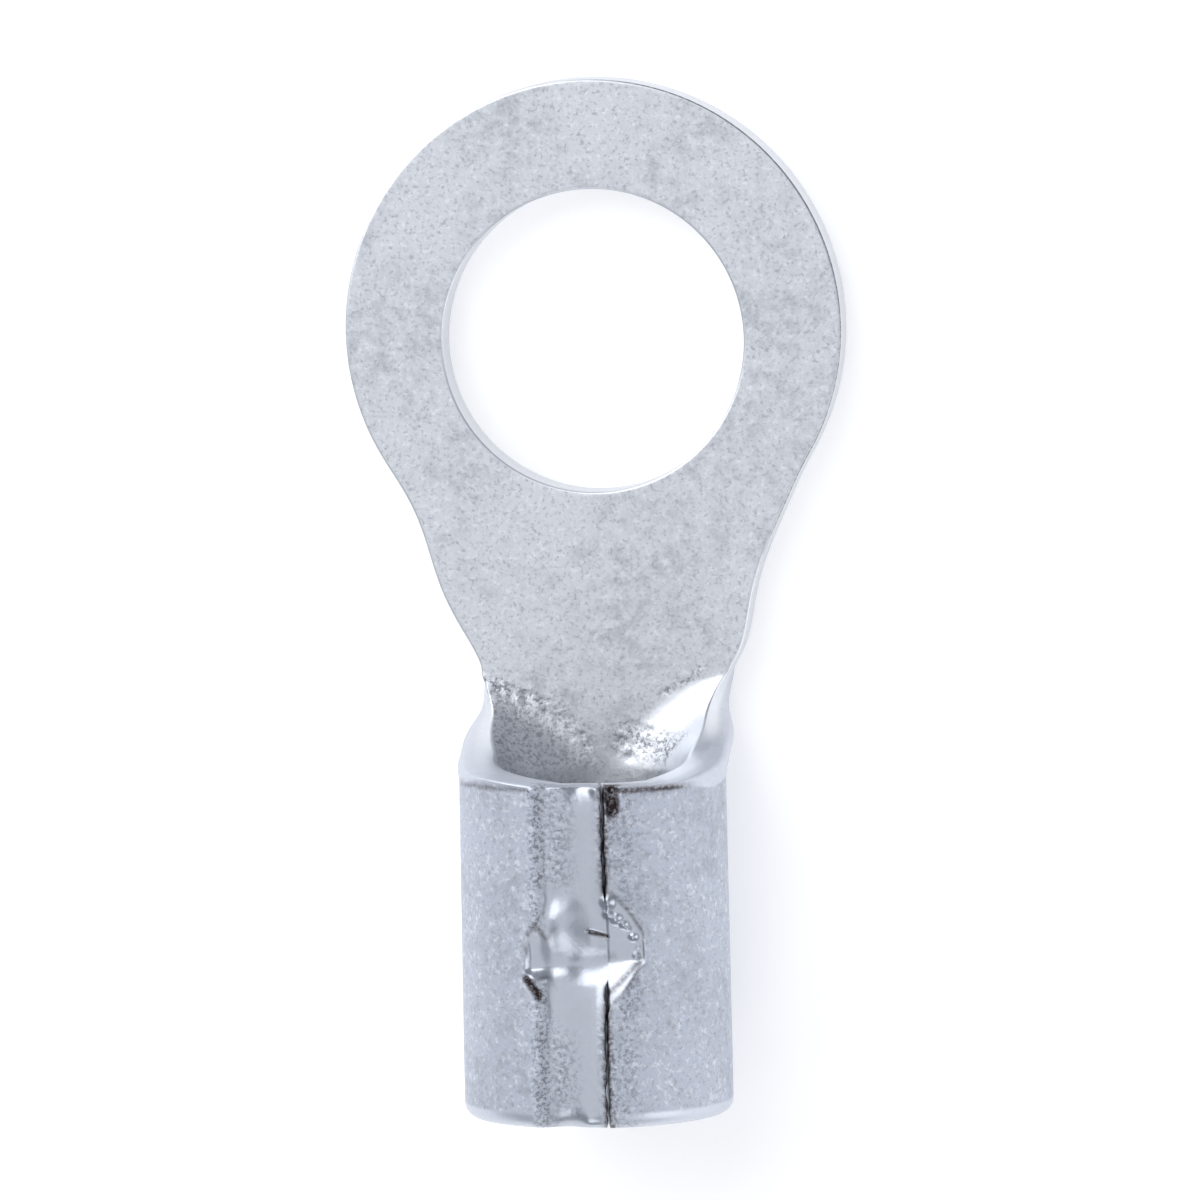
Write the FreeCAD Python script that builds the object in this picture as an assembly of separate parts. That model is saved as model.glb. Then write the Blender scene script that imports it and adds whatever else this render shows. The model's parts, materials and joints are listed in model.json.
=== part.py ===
"""Bare crimp ring terminal, stamped and rolled from one piece of tin-plated copper sheet.

A flat ring with a stud hole runs into a narrow neck. Below the neck the sheet is folded up on both sides
into a scoop, and its wings are rolled into a round barrel that takes the wire. The wings butt together on
top, where the closed seam is coined into a shallow channel with one deeper wedge mark.

The origin is the axis of the stud hole at the underside of the sheet. +Z is up through the hole, +Y points
to the tip of the ring and the barrel lies towards -Y, with its lowest line level with the underside.
"""

import FreeCAD
import Part
import math
import os

# Sheet, ring and stud hole
sheet = 1.0
stud_hole_diameter = 6.5
stud_hole_round = 0.12
ring_diameter = 10.74
ring_shift = 0.25
hole_to_barrel = 9.13

# Barrel for the wire
barrel_outside = 5.7
barrel_length = 7.3
barrel_end_round = 0.28
bore_mouth_bevel = 0.12

# Outline of the flat neck: where it leaves the ring's circle, then share of the way down and half width
neck_leave_angle = 31.0
neck_outline_right = ((0.48, 3.62), (0.80, 3.24))
neck_outline_left = ((0.48, 3.64), (0.78, 3.15))

# Scoop: the shape of its blank, and how far ahead of the barrel's rim each part of it begins
neck_half_right = 2.65
neck_half_left = 2.62
neck_end_ahead_right = 1.13
neck_end_ahead_left = 1.98
neck_taper_right = 0.24
neck_taper_left = 0.7
wing_ahead_right = 0.93
wing_ahead_left = 0.35
wing_slope_right = 2.8
wing_slope_left = 6.0
wing_blend_right = 0.12
wing_blend_left = 0.2
fold_ahead_right = 2.08
fold_ahead_left = 1.83
fold_lead = 0.2
shoulder_bulge_right = 2.4
shoulder_bulge_left = 2.9
tightest_fold = 1.5
fold_thinning = 0.02

# Coined seam along the top of the barrel, and the wedge mark across it
channel_width = 1.55
channel_depth = 0.17
channel_wall_lean = 0.12
channel_dish = 0.05
channel_shift = -0.15
seam_gap_width = 0.08
seam_gap_depth = 0.25
wedge_from_rim = 3.75
wedge_depth = 0.39
wedge_flank_angle = 14.6

# Places that follow from the sizes above
ring_radius = ring_diameter / 2
ring_tip = ring_shift + ring_radius
barrel_rim = -hole_to_barrel
barrel_end = barrel_rim - barrel_length
barrel_radius = barrel_outside / 2
bore_radius = barrel_radius - sheet
scoop_length = max(fold_ahead_right, fold_ahead_left) + fold_lead
flat_end = barrel_rim + scoop_length

# How closely the faces where the three stretches meet are matched
joint_tolerance = 1e-4


class Side:
    """The blank and its fold on one side of the centre line, right (+1) or left (-1)."""

    def __init__(self, sign, outline, neck, wing, fold_ahead, bulge):
        self.sign = sign
        self.outline = outline
        self.half, neck_ahead, self.taper = neck
        self.narrowest = barrel_rim + neck_ahead
        wing_ahead, self.wing_slope, self.wing_blend = wing
        self.wing_start = barrel_rim + wing_ahead
        self.fold_start = barrel_rim + fold_ahead
        self.bulge = bulge

    def half_width(self, y):
        """Half width of the blank: a parabola to the neck, then the wing's edge at its own slope."""
        above = max(0.0, y - self.narrowest)
        flare = math.log1p(math.exp((self.wing_start - y) / self.wing_blend))
        return self.half + self.taper * above ** 2 + self.wing_slope * self.wing_blend * flare

    def fold(self, y):
        """Half width of the flat bottom and the outer radius of the wall that rises from it."""
        run = max(0.0, (y - barrel_rim) / (self.fold_start - barrel_rim))
        flat_half = self.half_width(self.fold_start) * run
        outer_radius = barrel_radius + self.bulge * run ** 2 - flat_half
        return flat_half, max(outer_radius, tightest_fold * sheet)

    def point(self, along, y, level):
        """Place of a point of the sheet: along the blank from its middle, at a level over its lower face."""
        flat_half, outer_radius = self.fold(y)
        if along <= flat_half:
            return FreeCAD.Vector(self.sign * along, y, level)
        turn = (along - flat_half) / (outer_radius - sheet / 2)
        radius = outer_radius - level
        x = flat_half + radius * math.sin(turn)
        return FreeCAD.Vector(self.sign * x, y, outer_radius - radius * math.cos(turn))

    def row(self, y, level, columns, least_share=0.15, most_share=0.9):
        """Points across the sheet from the middle to the edge, evenly spaced on the flat and on the wall."""
        width = self.half_width(y)
        flat_half = min(max(self.fold(y)[0], least_share * width), most_share * width)
        alongs = [flat_half * n / columns for n in range(columns)]
        alongs += [flat_half + (width - flat_half) * n / columns for n in range(columns + 1)]
        return [self.point(along, y, level) for along in alongs]

    def flat_corner(self):
        """Corner of the flat where its edge runs on into the scoop."""
        return FreeCAD.Vector(self.sign * self.half_width(flat_end), flat_end, 0)

    def neck_edge(self):
        """Edge of the flat from the ring's circle to the scoop, and its first point."""
        leave = math.radians(neck_leave_angle)
        start = FreeCAD.Vector(
            self.sign * ring_radius * math.cos(leave), ring_shift - ring_radius * math.sin(leave), 0
        )
        points = [start]
        for share, half in self.outline:
            points.append(FreeCAD.Vector(self.sign * half, start.y + share * (flat_end - start.y), 0))
        points.append(self.flat_corner())
        step = 0.01
        widening = (self.half_width(flat_end + step) - self.half_width(flat_end)) / step
        curve = Part.BSplineCurve()
        curve.interpolate(
            Points=points,
            InitialTangent=FreeCAD.Vector(-self.sign * math.sin(leave), -math.cos(leave), 0),
            FinalTangent=FreeCAD.Vector(-self.sign * widening, -1, 0),
        )
        return curve.toShape(), start


right = Side(
    1,
    neck_outline_right,
    (neck_half_right, neck_end_ahead_right, neck_taper_right),
    (wing_ahead_right, wing_slope_right, wing_blend_right),
    fold_ahead_right,
    shoulder_bulge_right,
)
left = Side(
    -1,
    neck_outline_left,
    (neck_half_left, neck_end_ahead_left, neck_taper_left),
    (wing_ahead_left, wing_slope_left, wing_blend_left),
    fold_ahead_left,
    shoulder_bulge_left,
)


def tongue():
    """The flat ring and neck, with the stud hole through it and the hole's two rims rounded."""
    right_edge, right_start = right.neck_edge()
    left_edge, left_start = left.neck_edge()
    arc = Part.Arc(right_start, FreeCAD.Vector(0, ring_tip, 0), left_start).toShape()
    end = Part.makeLine(left.flat_corner(), right.flat_corner())
    outline = Part.Wire(Part.__sortEdges__([arc, left_edge, end, right_edge]))
    plate = Part.Face(outline).extrude(FreeCAD.Vector(0, 0, sheet))
    hole_radius = stud_hole_diameter / 2
    plate = plate.cut(Part.makeCylinder(hole_radius, sheet))
    rims = [edge for edge in plate.Edges if is_circle(edge, hole_radius)]
    return plate.makeFillet(stud_hole_round, rims)


def is_circle(edge, radius, tolerance=1e-6):
    """True for an edge on a circle of this radius."""
    return isinstance(edge.Curve, Part.Circle) and abs(edge.Curve.Radius - radius) < tolerance


def scoop(rows=11, columns=6):
    """The trough between the neck and the barrel's rim: its edges fold up and it thins a little."""
    sections = []
    for n in range(rows + 1):
        y = flat_end - scoop_length * n / rows
        thinning = fold_thinning * n / rows
        curves = []
        for level in (sheet - thinning, thinning):
            points = left.row(y, level, columns)[:0:-1] + right.row(y, level, columns)
            curve = Part.BSplineCurve()
            curve.interpolate(points)
            curves.append(curve.toShape())
        upper, lower = curves
        edges = [upper, lower]
        for end in (0, -1):
            edges.append(Part.makeLine(upper.Vertexes[end].Point, lower.Vertexes[end].Point))
        sections.append(Part.Wire(Part.__sortEdges__(edges)))
    return Part.makeLoft(sections, True, False)


def barrel():
    """The rolled barrel: its wire end rounded outside and bevelled inside, the seam's marks pressed in."""
    def at(y, radius):
        return FreeCAD.Vector(0, y, barrel_radius + radius)

    bend = barrel_end_round * (1 - math.sqrt(0.5))
    edges = [
        Part.makeLine(at(barrel_rim, bore_radius), at(barrel_rim, barrel_radius)),
        Part.makeLine(at(barrel_rim, barrel_radius), at(barrel_end + barrel_end_round, barrel_radius)),
        Part.Arc(
            at(barrel_end + barrel_end_round, barrel_radius),
            at(barrel_end + bend, barrel_radius - bend),
            at(barrel_end, barrel_radius - barrel_end_round),
        ).toShape(),
        Part.makeLine(
            at(barrel_end, barrel_radius - barrel_end_round), at(barrel_end, bore_radius + bore_mouth_bevel)
        ),
        Part.makeLine(
            at(barrel_end, bore_radius + bore_mouth_bevel), at(barrel_end + bore_mouth_bevel, bore_radius)
        ),
        Part.makeLine(at(barrel_end + bore_mouth_bevel, bore_radius), at(barrel_rim, bore_radius)),
    ]
    profile = Part.Face(Part.Wire(edges))
    tube = profile.revolve(FreeCAD.Vector(0, 0, barrel_radius), FreeCAD.Vector(0, 1, 0), 360)
    return tube.cut([seam_channel(), seam_wedge()])


def seam_channel():
    """The channel coined along the seam, full length: leaning walls, a dished floor and the butt's gap."""
    crown = barrel_outside
    floor = crown - channel_depth
    half_top = channel_width / 2
    half_floor = half_top - channel_wall_lean
    gap_left = half_floor - seam_gap_width
    gap_middle = half_floor - seam_gap_width / 2
    clear = sheet
    y = barrel_end - clear

    def at(x, z):
        return FreeCAD.Vector(channel_shift + x, y, z)

    edges = [
        Part.makeLine(at(-half_top, crown + clear), at(-half_top, crown)),
        Part.makeLine(at(-half_top, crown), at(-half_floor, floor)),
        Part.Arc(at(-half_floor, floor), at(0, floor - channel_dish), at(gap_left, floor)).toShape(),
        Part.makeLine(at(gap_left, floor), at(gap_middle, floor - seam_gap_depth)),
        Part.makeLine(at(gap_middle, floor - seam_gap_depth), at(half_floor, floor)),
        Part.makeLine(at(half_floor, floor), at(half_top, crown)),
        Part.makeLine(at(half_top, crown), at(half_top, crown + clear)),
        Part.makeLine(at(half_top, crown + clear), at(-half_top, crown + clear)),
    ]
    section = Part.Face(Part.Wire(edges))
    return section.extrude(FreeCAD.Vector(0, barrel_length + 2 * clear, 0))


def seam_wedge():
    """The deeper mark of a blunt wedge pressed across the seam, about half way down the barrel."""
    crown = barrel_outside
    centre = barrel_rim - wedge_from_rim
    reach = (wedge_depth + sheet) / math.tan(math.radians(wedge_flank_angle))
    corners = [
        FreeCAD.Vector(-barrel_radius, centre - reach, crown + sheet),
        FreeCAD.Vector(-barrel_radius, centre, crown - wedge_depth),
        FreeCAD.Vector(-barrel_radius, centre + reach, crown + sheet),
    ]
    return Part.Face(Part.makePolygon(corners + corners[:1])).extrude(FreeCAD.Vector(barrel_outside, 0, 0))


def main():
    """Join the ring, the scoop and the barrel into the one piece and write it."""
    os.makedirs("parts", exist_ok=True)
    body = tongue().fuse([scoop(), barrel()], joint_tolerance)
    print("solids", len(body.Solids), "valid", body.isValid(), "volume", round(body.Volume, 2))
    body.Solids[0].exportStep("parts/terminal_body.step")


main()
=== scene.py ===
"""Looks of a bare crimp ring terminal: one tin-plated sheet, stamped flat, folded up and rolled.

The terminal is drawn as its flat blank, whose places are pairs (along, back): along the sheet's width from
its middle line, and back along the terminal. One rule then carries each place, at any level in the sheet's
thickness, to where the folded and rolled sheet has it. The ring, the scoop, the barrel, the stamped edges
and the butt seam are so one closed skin. The functions on the blank reckon in millimetres.
"""

import json
import math

import bmesh
import bpy
import numpy as np
from mathutils import Matrix, Vector


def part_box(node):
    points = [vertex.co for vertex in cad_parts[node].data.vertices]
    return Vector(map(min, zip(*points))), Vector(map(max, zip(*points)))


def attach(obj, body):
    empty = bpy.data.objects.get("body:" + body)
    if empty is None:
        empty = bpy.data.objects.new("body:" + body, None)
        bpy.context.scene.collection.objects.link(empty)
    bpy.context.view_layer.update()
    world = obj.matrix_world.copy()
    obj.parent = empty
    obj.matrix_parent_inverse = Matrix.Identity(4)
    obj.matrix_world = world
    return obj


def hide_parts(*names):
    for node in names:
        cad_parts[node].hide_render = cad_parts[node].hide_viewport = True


bl_info = {
    "name": "Ring terminal",
    "version": (1, 0, 0),
    "blender": (4, 5, 0),
    "location": "View3D > Sidebar > Terminal",
    "description": "Builds a tin-plated crimp ring terminal and the stage that it lies on",
    "category": "Add Mesh",
}

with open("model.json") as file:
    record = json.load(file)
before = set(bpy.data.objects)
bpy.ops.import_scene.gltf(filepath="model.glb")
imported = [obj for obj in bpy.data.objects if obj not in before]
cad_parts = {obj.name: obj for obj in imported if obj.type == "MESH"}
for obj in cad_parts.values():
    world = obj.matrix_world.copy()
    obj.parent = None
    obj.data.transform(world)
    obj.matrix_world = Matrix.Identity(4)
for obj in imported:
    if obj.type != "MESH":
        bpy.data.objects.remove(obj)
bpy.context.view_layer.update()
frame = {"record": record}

NODE = "terminal_body"
MM = 0.001
LOW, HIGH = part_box(NODE)
MOUNTS = {mount["name"]: mount for mount in frame["record"]["mounts"]}
HOLE_RADIUS = MOUNTS["stud_hole"]["dims"]["r_mm"]
BORE_RADIUS = MOUNTS["wire_barrel"]["dims"]["r_mm"]
SHEET = MOUNTS["seating_face"]["pos_m"][2] / MM
RING_RADIUS = (HIGH.x - LOW.x) / 2 / MM
RING_SHIFT = HIGH.y / MM - RING_RADIUS


def length(name, description, default):
    """A property for a length, with its default given in millimetres."""
    return bpy.props.FloatProperty(
        name=name, description=description, default=default * MM, unit="LENGTH", precision=5
    )


def number(name, description, default):
    """A property for a plain number."""
    return bpy.props.FloatProperty(name=name, description=description, default=default, min=0.0)


def angle(name, description, default):
    """A property for an angle, with its default given in degrees."""
    return bpy.props.FloatProperty(
        name=name, description=description, default=math.radians(default), subtype="ANGLE"
    )


def colour(name, description, default):
    """A property for a colour."""
    return bpy.props.FloatVectorProperty(
        name=name, description=description, default=default, size=3, min=0.0, max=1.0, subtype="COLOR"
    )


class TerminalSizes(bpy.types.PropertyGroup):
    """Sizes of the stamped and rolled sheet."""

    sheet: length("Sheet", "Thickness of the sheet", SHEET)
    hole_radius: length("Stud hole radius", "Radius of the stud hole", HOLE_RADIUS)
    ring_radius: length("Ring radius", "Radius of the ring's rim", RING_RADIUS)
    ring_shift: length("Ring shift", "How far the rim's centre lies beyond the hole's", RING_SHIFT)
    rim_back: length("Rim distance", "From the hole's axis back to the rim of the barrel", 9.13)
    end_back: length("End distance", "From the hole's axis back to the wire end", -LOW.y / MM)
    bore_radius: length("Bore radius", "Inside radius of the barrel", BORE_RADIUS)
    barrel_shift: length("Barrel shift", "How far right of the hole's axis the barrel has come out", 0.06)
    spread: length("Spread", "How much the barrel's half width grows to the wire end", 0.03)
    burr_round: length("Burr side round", "Round of the stamped edge on the upper face", 0.06)
    die_round: length("Die side round", "Round of the stamped edge on the lower face", 0.12)
    end_round: length("Wire end round", "Round of the barrel's outer edge at the wire end", 0.3)
    mouth_round: length("Mouth round", "Round of the bore's edge at the wire end", 0.12)


class SeamSizes(bpy.types.PropertyGroup):
    """Sizes of the butt seam and of the marks that were pressed into it."""

    seam_shift: length("Seam shift", "How far right of the crown the butt seam lies", 0.58)
    seam_gap: length("Seam gap", "Width of the crack that the butt seam leaves", 0.09)
    shut_start: length("Shut start", "From the barrel's rim back to where the mark shuts the seam", 2.35)
    shut_end: length("Shut end", "From the barrel's rim back to where the seam opens again", 4.25)
    channel_left: length("Channel left", "From the crown to the channel's left edge", 1.02)
    channel_right: length("Channel right", "From the crown to the channel's right edge", 0.60)
    channel_depth: length("Channel depth", "Depth of the channel along the seam", 0.19)
    channel_wall: length("Channel wall", "Width of the channel's left wall", 0.40)
    wedge_back: length("Wedge distance", "From the barrel's rim back to the wedge mark's valley", 3.74)
    wedge_left: length("Wedge left", "From the crown to the wedge mark's left end", 1.13)
    wedge_right: length("Wedge right", "From the crown to the wedge mark's right end", 1.36)
    wedge_depth: length("Wedge depth", "Depth of the wedge mark's valley below the crown", 0.40)
    wedge_slope: number("Wedge slope", "Rise of the wedge's flanks for each unit of length", 0.262)


class TerminalFinish(bpy.types.PropertyGroup):
    """Colours and textures of the tin plating."""

    tin: colour("Tin", "Matte tin plating", (0.665, 0.685, 0.72))
    pale_tin: colour("Pale tin", "Lighter grains of the plating", (0.80, 0.82, 0.86))
    dull_tin: colour("Dull tin", "Darker grains and blotches of the plating", (0.40, 0.42, 0.46))
    # Painted shade and painted bluish sky reflection: a darker, bluer colour for the outer faces of the
    # rolled walls and barrel
    barrel_shade_tint: colour("Rolled tin", "Plating that the rolling stretched", (0.50, 0.545, 0.65))
    pressed_tin: colour("Pressed tin", "Plating that the tools pressed flat", (0.47, 0.50, 0.55))
    # Also the painted shade of the scuffs on the left inner wall
    dark_tin: colour("Dark tin", "Specks of torn plating", (0.20, 0.21, 0.24))
    # Colour of the dark marks in the seam's crack, pits and the wedge mark's border, and of the painted
    # shade in the creases behind the barrel's rim and along the ring's upper right edge
    dark_marks_and_shade: colour("Soil", "Dirt and bare copper in the seam's cracks", (0.045, 0.03, 0.028))
    roughness: number("Roughness", "Roughness of the matte plating", 0.5)
    pressed_roughness: number("Pressed roughness", "Roughness where the tools pressed the plating", 0.29)
    grain: number("Grain", "Grains of the plating in each millimetre", 7.0)
    grain_depth: number("Grain depth", "Strength of the grain's relief", 0.25)


class TerminalStage(bpy.types.PropertyGroup):
    """The floor, the lights and the camera."""

    floor: colour("Floor", "Colour of the floor", (0.85, 0.85, 0.85))
    floor_glow: number("Floor glow", "Light that the floor gives to the camera alone", 0.36)
    floor_half: length("Floor half", "Half the length of the floor's side", 1500.0)
    sky: colour("Sky", "Colour of the light from all round", (0.86, 0.90, 1.0))
    sky_strength: number("Sky strength", "Strength of the light from all round", 0.42)
    yaw: angle("Yaw", "How far the camera stands to the right", 8.0)
    pitch: angle("Pitch", "How far the camera stands towards the ring", 5.5)
    lean: angle("Lean", "How far the picture is turned", 1.2)
    distance: length("Camera distance", "From the camera to the terminal", 300.0)
    view_width: length("View width", "Width of the picture at the terminal", 25.8)
    aim_right: length("Aim right", "From the hole's axis right to the picture's middle", -0.03)
    aim_back: length("Aim back", "From the hole's axis back to the picture's middle", 5.63)


class Side:
    """The shape of the blank and its fold on one side of the middle line, right (+1) or left (-1).

    neck gives two places on the flat neck's edge: share of the way from the ring's circle to the end of the
    flat, and half width. half is the half width at the scoop's narrowest stretch, narrow is where the edge
    starts to widen from there towards the ring, and taper is how fast. Each run of the wing's edge has its
    start, its slope and the length that blends it in. fold is where the fold starts and ends, and bulge how
    far its walls stand out. Starts and ends are places ahead of the barrel's rim.
    """

    def __init__(self, sign, neck, half, narrow, taper, runs, fold, bulge):
        self.sign = sign
        self.neck = neck
        self.half = half
        self.narrow = narrow
        self.taper = taper
        self.runs = runs
        self.fold_start, self.fold_end = fold
        self.bulge = bulge


RIGHT = Side(
    1, neck=((0.48, 3.62), (0.80, 3.24)), half=2.62, narrow=1.13, taper=0.26,
    runs=((1.13, 0.9, 0.10), (0.33, 6.0, 0.05)), fold=(1.98, -0.12), bulge=4.6,
)
LEFT = Side(
    -1, neck=((0.48, 3.64), (0.78, 3.15)), half=2.57, narrow=1.98, taper=0.70,
    runs=((1.12, 1.2, 0.10), (0.33, 9.0, 0.05)), fold=(1.93, -0.12), bulge=5.4,
)

# Where the flat ends ahead of the rim, and the angles at the neck's start and the wing's corner
FLAT_AHEAD = 2.28
NECK_LEAVE = math.radians(31.0)
WING_TURN = math.radians(45.0)

# Places at which an edge is sampled, and the golden angle in radians
SAMPLES = 4000
GOLDEN_ANGLE = 2.39996


def smooth(x):
    """Nought to one with level ends: three x squared less two x cubed, held outside that stretch."""
    x = np.clip(x, 0.0, 1.0)
    return x * x * (3.0 - 2.0 * x)


def bump(x):
    """One at nought, falling smoothly to nought at one and beyond: one less x squared, squared."""
    return np.clip(1.0 - x * x, 0.0, 1.0) ** 2


def ripple(x, y, wave, seed):
    """Lumpy noise of about one: twelve plane waves, in directions a golden angle apart, added up.

    Their lengths grow from 0.72 times the wave in steps of 0.05, and each wave's start is the seed plus 1.7
    times the square of its number.
    """
    k = np.arange(12)
    turn = GOLDEN_ANGLE * (k + seed)
    pace = 2 * math.pi / (wave * (0.72 + 0.05 * k))
    across = x[..., None] * np.cos(turn) + y[..., None] * np.sin(turn)
    return np.sum(np.sin(across * pace + 1.7 * k * k + seed), axis=-1) / 3.5


def stroke(x, y, start, end, half_width):
    """One along a straight stroke, falling to nought at its half width from the nearest place on it."""
    run = (end[0] - start[0], end[1] - start[1])
    along = (x - start[0]) * run[0] + (y - start[1]) * run[1]
    share = np.clip(along / (run[0] ** 2 + run[1] ** 2), 0.0, 1.0)
    return bump(np.hypot(x - start[0] - share * run[0], y - start[1] - share * run[1]) / half_width)


class Blank:
    """The stamped blank in millimetres: its edges, and the rule that rolls it."""

    # The length over which the seam shuts, and how far its crack shuts
    SHUT_BLEND, GAP_SHUT = 0.3, 0.98
    # The crack's raggedness: strength, middle, wave, seed, least, most, and its fading at the barrel's ends
    RAGGED = (0.38, 0.5, 0.42, 2.0, -0.8, 0.3, 0.3)
    # Least values that keep the fold regular, and the length over which the walls' look sets in
    LEAST_REACH, LEAST_PACE, TURN_BLEND = 1.5, 0.5, 0.4

    def __init__(self, sizes, seam):
        self.sheet = sizes.sheet / MM
        self.hole = sizes.hole_radius / MM
        self.ring = sizes.ring_radius / MM
        self.shift = sizes.ring_shift / MM
        self.rim = -sizes.rim_back / MM
        self.end = -sizes.end_back / MM
        self.middle = sizes.bore_radius / MM + self.sheet / 2
        self.outer = sizes.bore_radius / MM + self.sheet
        self.flat_end = self.rim + FLAT_AHEAD
        self.burr = sizes.burr_round / MM
        self.die = sizes.die_round / MM
        self.end_round = sizes.end_round / MM
        self.mouth = sizes.mouth_round / MM
        self.barrel_shift = sizes.barrel_shift / MM
        self.spread = sizes.spread / MM
        turn = math.asin(seam.seam_shift / MM / self.outer) * self.middle
        self.half_gap = seam.seam_gap / MM / 2 * self.middle / self.outer
        self.seam_at = {1: math.pi * self.middle - turn, -1: math.pi * self.middle + turn}
        self.shut = (self.rim - seam.shut_start / MM, self.rim - seam.shut_end / MM)

    def shutting(self, y):
        """How far the wedge mark has shut the seam: one between two places, falling off beyond them."""
        start, end = self.shut
        half = self.SHUT_BLEND / 2
        return smooth((start + half - y) / self.SHUT_BLEND) * smooth((y - end + half) / self.SHUT_BLEND)

    def gap(self, side, y):
        """Half the width of the seam's crack, made ragged by lumpy noise and shut under the wedge mark."""
        strength, middle, wave, seed, least, most, fade = self.RAGGED
        ends = smooth((self.rim - y) / fade) * smooth((y - self.end) / fade)
        ragged = strength * ends * (ripple(np.full_like(y, side.sign), y, wave, seed) - middle)
        open_share = 1.0 - self.GAP_SHUT * self.shutting(y)
        return self.half_gap * open_share * (1.0 + np.clip(ragged, least, most))

    def scoop_half_width(self, side, y):
        """Half width at the scoop: a parabola down to the narrowest place, plus the wing's runs.

        A run is its slope times its blend times the logarithm of one plus e to the distance past its start
        over the blend, which is nought before the start and a straight line beyond it.
        """
        above = np.maximum(0.0, y - self.rim - side.narrow)
        width = side.half + side.taper * above ** 2
        for start, slope, blend in side.runs:
            width = width + slope * blend * np.log1p(np.exp((self.rim + start - y) / blend))
        return width

    def neck_edge(self, side, count):
        """The flat neck's edge: half width as a polynomial of the fifth power of the distance back.

        It leaves the ring's circle along its tangent, passes two places on the way and meets the scoop's
        edge with its slope, which makes six conditions for the six coefficients.
        """
        start = self.shift - self.ring * math.sin(NECK_LEAVE)
        step = 0.01
        end_width = self.scoop_half_width(side, self.flat_end)
        end_slope = (self.scoop_half_width(side, self.flat_end + step) - end_width) / step
        places = [(start, self.ring * math.cos(NECK_LEAVE))]
        places += [(start + share * (self.flat_end - start), half) for share, half in side.neck]
        places.append((self.flat_end, end_width))
        powers = np.arange(6)
        rows = [np.power(y, powers) for y, _ in places]
        values = [half for _, half in places]
        for y, slope in ((start, math.tan(NECK_LEAVE)), (self.flat_end, end_slope)):
            rows.append(np.concatenate([[0.0], powers[1:] * np.power(y, powers[:-1])]))
            values.append(slope)
        coefficients = np.linalg.solve(np.array(rows, float), np.array(values, float))
        y = np.linspace(start, self.flat_end, count + 1)
        return np.stack([side.sign * np.polynomial.polynomial.polyval(y, coefficients), y], axis=-1)

    def wing_corner(self, side):
        """The place on the wing's edge where it has turned away from the middle line by the wing's turn."""
        y = np.linspace(self.rim, self.flat_end, SAMPLES)
        slope = -np.gradient(self.scoop_half_width(side, y), y)
        return y[np.argmin(np.abs(slope - math.tan(WING_TURN)))]

    def fold(self, side, y):
        """Half width of the flat bottom, and the radius of the wall at the middle of the sheet.

        With the share of the fold that is left, the flat bottom narrows from the neck's width to nothing as
        0.72 times the share to the power 1.5 plus 0.28 times its power 12, so quickly at first. The wall's
        farthest reach stands out from the barrel by the bulge times the square of the share.
        """
        start, end = self.rim + side.fold_start, self.rim + side.fold_end
        share = np.clip((y - end) / (start - end), 0.0, 2.0)
        flat_half = self.scoop_half_width(side, start) * (0.72 * share ** 1.5 + 0.28 * share ** 12)
        reach = self.outer + side.bulge * share ** 2
        return flat_half, np.maximum(reach - flat_half, self.LEAST_REACH) - self.sheet / 2

    def roll(self, along, y, level):
        """Carries places of the blank, at a level over the lower face, to where the rolled sheet has them.

        Across the terminal the sheet runs flat, then turns up on a circle, and past a quarter turn it
        follows a quarter of an ellipse that closes over the middle. The closing grows from nothing at the
        neck to whole at the rim. A point lies off the middle of the sheet along the circle's radius. Also
        says where the sheet is turned up, from nought on the flat to one on the walls.
        """
        off = level - self.sheet / 2
        places = np.zeros(along.shape + (3,))
        turned = np.zeros(along.shape)
        for side in (RIGHT, LEFT):
            here = (along >= 0) if side.sign > 0 else (along < 0)
            s, back, lift = np.abs(along[here]), y[here], off[here]
            flat_half, radius = self.fold(side, back)
            closing = smooth((self.rim + side.fold_start - back) / side.fold_start)
            quarter = flat_half + radius * math.pi / 2
            rest = (math.pi * self.middle - quarter) / (math.pi / 2)
            pace = np.maximum(radius + (rest - radius) * closing, self.LEAST_PACE)
            tall = radius + 2 * (self.middle - radius) * closing
            turn = np.clip((s - flat_half) / radius, 0.0, math.pi / 2)
            over = np.maximum(0.0, s - quarter) / pace
            x = flat_half + (radius - lift) * np.sin(turn)
            z = self.sheet / 2 + radius - (radius - lift) * np.cos(turn)
            far = over > 0
            carried = flat_half * (1 + (np.cos(over) - 1) * closing)
            x = np.where(far, carried + (radius - lift) * np.cos(over), x)
            z = np.where(far, self.sheet / 2 + radius + (tall - lift) * np.sin(over), z)
            flat = s <= flat_half
            x = np.where(flat, s, x)
            z = np.where(flat, lift + self.sheet / 2, z)
            run = smooth((self.flat_end - back) / (self.flat_end - self.rim))
            down = np.clip((self.rim - back) / (self.rim - self.end), 0.0, 1.0)
            grow = 1 + self.spread / self.outer * down
            places[here] = np.stack([side.sign * x * grow + self.barrel_shift * run, back, z], axis=-1)
            turned[here] = smooth((s - flat_half) / self.TURN_BLEND)
        return places, turned


# Single marks. A place is how far right of the crown it lies, and how far back as the terminal runs.
# Strokes sunk into the metal: start, end, half width, depth, share of darkening.
STROKES = (
    ((0.72, -9.08), (0.76, -9.62), 0.24, 0.22, 1.0),
    ((-1.15, -13.22), (-0.86, -13.60), 0.11, 0.10, 1.0),
    ((0.20, -12.22), (0.58, -12.33), 0.06, 0.05, 0.9),
    ((1.30, -12.85), (0.62, -13.55), 0.09, 0.0, 0.6),
    ((0.10, -12.98), (0.48, -12.98), 0.45, 0.055, 0.0),
)
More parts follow.
